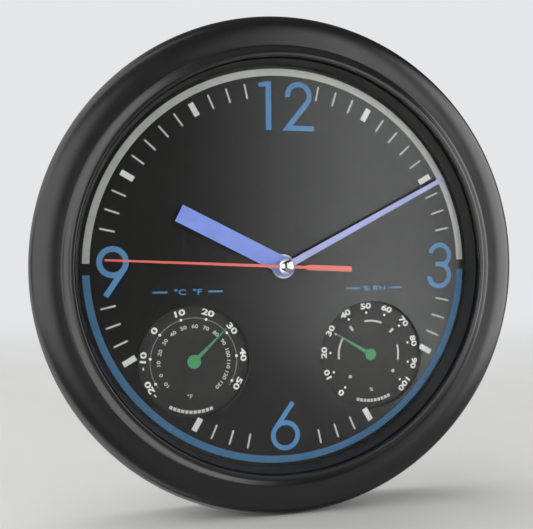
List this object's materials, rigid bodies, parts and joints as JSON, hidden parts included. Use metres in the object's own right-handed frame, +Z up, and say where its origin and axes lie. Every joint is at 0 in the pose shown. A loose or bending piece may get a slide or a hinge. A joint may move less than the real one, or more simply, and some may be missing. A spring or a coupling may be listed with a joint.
{
  "type": "wall clock with thermometer and hygrometer",
  "caption": "Round wall clock with a rolled bezel, flat lens, three hands, a quartz movement, and a thermometer and a hygrometer let into its dial.",
  "frame": {"origin": "centre of the case's rear rim, on the hands' axis, in the plane of the wall", "axes": "+Z up, towards 12 o'clock; +X to the right as the clock is read; +Y into the wall, so the dial faces -Y"},
  "size_m": [0.3048, 0.044, 0.3048],
  "materials": {
    "bezel_plastic": "polished black moulding",
    "lens_glass": "clear flat lens",
    "spacer_plastic": "black satin",
    "dial_paint": "black semi-gloss with printed ring, bars and numbers",
    "cover_plastic": "fine spark texture",
    "screw_steel": "zinc plated",
    "movement_plastic": "moulded black",
    "washer_rubber": "soft",
    "nut_brass": "turned",
    "bridge_plastic": "natural",
    "motor_steel": "stamped",
    "coil_copper": "enamelled wire, wound",
    "board_laminate": "green laminate",
    "crystal_can": "drawn can",
    "chip_resin": "resin drop",
    "battery_sleeve": "plain sleeve",
    "contact_plating": "nickel plated strip",
    "gear_plastic": "natural acetal",
    "knob_plastic": "fluted",
    "hour_hand_paint": "blue lacquer",
    "minute_hand_paint": "pale blue lacquer",
    "second_hand_paint": "red lacquer",
    "cap_plating": "polished",
    "cup_metal": "drawn cup",
    "gauge_face_paint": "black with printed scales",
    "needle_paint": "green lacquer",
    "arbor_brass": "turned",
    "bimetal_strip": "rolled bimetal",
    "humidity_strip": "coated strip"
  },
  "bodies": {
    "case": {"bezel_ring": "bezel_plastic", "lens": "lens_glass", "spacer_ring": "spacer_plastic", "dial_plate": "dial_paint", "rear_cover": "cover_plastic", "rear_cover_screws": "screw_steel", "movement_front_case": "movement_plastic", "movement_rear_case": "movement_plastic", "rubber_washer": "washer_rubber", "mounting_washer": "nut_brass", "mounting_nut": "nut_brass", "train_bridge": "bridge_plastic", "bridge_screws": "screw_steel", "stator": "motor_steel", "coil_bobbin": "gear_plastic", "coil_winding": "coil_copper", "circuit_board": "board_laminate", "quartz_crystal": "crystal_can", "ic_chip": "chip_resin", "battery_cell": "battery_sleeve", "battery_contact_positive": "contact_plating", "battery_contact_negative": "contact_plating", "thermometer_cup": "cup_metal", "thermometer_face": "gauge_face_paint", "thermometer_coil": "bimetal_strip", "hygrometer_cup": "cup_metal", "hygrometer_face": "gauge_face_paint", "hygrometer_coil": "humidity_strip"},
    "seconds_hand_train": {"seconds_wheel": "gear_plastic", "second_hand": "second_hand_paint", "second_hand_cap": "cap_plating"},
    "minutes_hand_train": {"centre_wheel": "gear_plastic", "minute_hand": "minute_hand_paint"},
    "hours_hand_train": {"hour_wheel": "gear_plastic", "hour_hand": "hour_hand_paint", "hour_hand_collet": "nut_brass"},
    "motor_rotor": {"rotor": "gear_plastic"},
    "intermediate_gear": {"intermediate_wheel": "gear_plastic"},
    "third_gear": {"third_wheel": "gear_plastic"},
    "minute_gear": {"minute_wheel": "gear_plastic"},
    "setting_shaft": {"setting_knob": "knob_plastic"},
    "thermometer_pointer": {"thermometer_needle": "needle_paint", "thermometer_arbor": "arbor_brass"},
    "hygrometer_pointer": {"hygrometer_needle": "needle_paint", "hygrometer_arbor": "arbor_brass"}
  },
  "joints": [
    {"name": "second_hand_turn", "type": "hinge", "parent": "case", "child": "seconds_hand_train", "pos_m": [0, 0, 0], "axis": [0, 1, 0], "continuous": true},
    {"name": "minute_hand_turn", "type": "hinge", "parent": "case", "child": "minutes_hand_train", "pos_m": [0, 0, 0], "axis": [0, 1, 0], "continuous": true},
    {"name": "hour_hand_turn", "type": "hinge", "parent": "case", "child": "hours_hand_train", "pos_m": [0, 0, 0], "axis": [0, 1, 0], "continuous": true},
    {"name": "intermediate_wheel_turn", "type": "hinge", "parent": "case", "child": "intermediate_gear", "pos_m": [-0.00827, 0, -0.00146], "axis": [0, 1, 0], "continuous": true},
    {"name": "rotor_turn", "type": "hinge", "parent": "case", "child": "motor_rotor", "pos_m": [-0.01451, 0, 0.00214], "axis": [0, 1, 0], "continuous": true},
    {"name": "third_wheel_turn", "type": "hinge", "parent": "case", "child": "third_gear", "pos_m": [0.00947, 0, 0.00345], "axis": [0, 1, 0], "continuous": true},
    {"name": "minute_wheel_turn", "type": "hinge", "parent": "case", "child": "minute_gear", "pos_m": [-0.00707, 0, 0.00707], "axis": [0, 1, 0], "continuous": true},
    {"name": "setting_knob_turn", "type": "hinge", "parent": "case", "child": "setting_shaft", "pos_m": [-0.01207, 0, 0.01573], "axis": [0, 1, 0], "continuous": true},
    {"name": "thermometer_needle_turn", "type": "hinge", "parent": "case", "child": "thermometer_pointer", "pos_m": [-0.0562, 0, -0.05739], "axis": [0, 1, 0], "range_deg": [-164.3, 72.3], "stiffness_Nm_per_rad": 0.0001, "deforming": ["thermometer_coil"]},
    {"name": "hygrometer_needle_turn", "type": "hinge", "parent": "case", "child": "hygrometer_pointer", "pos_m": [0.0584, 0, -0.05739], "axis": [0, 1, 0], "range_deg": [-81.55, 188.95], "stiffness_Nm_per_rad": 0.0001, "deforming": ["hygrometer_coil"]}
  ],
  "couplings": [
    {"joint": "intermediate_wheel_turn", "follows": "second_hand_turn", "ratio": -6},
    {"joint": "rotor_turn", "follows": "second_hand_turn", "ratio": 30},
    {"joint": "third_wheel_turn", "follows": "second_hand_turn", "ratio": -0.13333},
    {"joint": "minute_hand_turn", "follows": "second_hand_turn", "ratio": 0.016667},
    {"joint": "minute_wheel_turn", "follows": "second_hand_turn", "ratio": -0.0055556},
    {"joint": "hour_hand_turn", "follows": "second_hand_turn", "ratio": 0.0013889},
    {"joint": "setting_knob_turn", "follows": "second_hand_turn", "ratio": 0.016667}
  ]
}
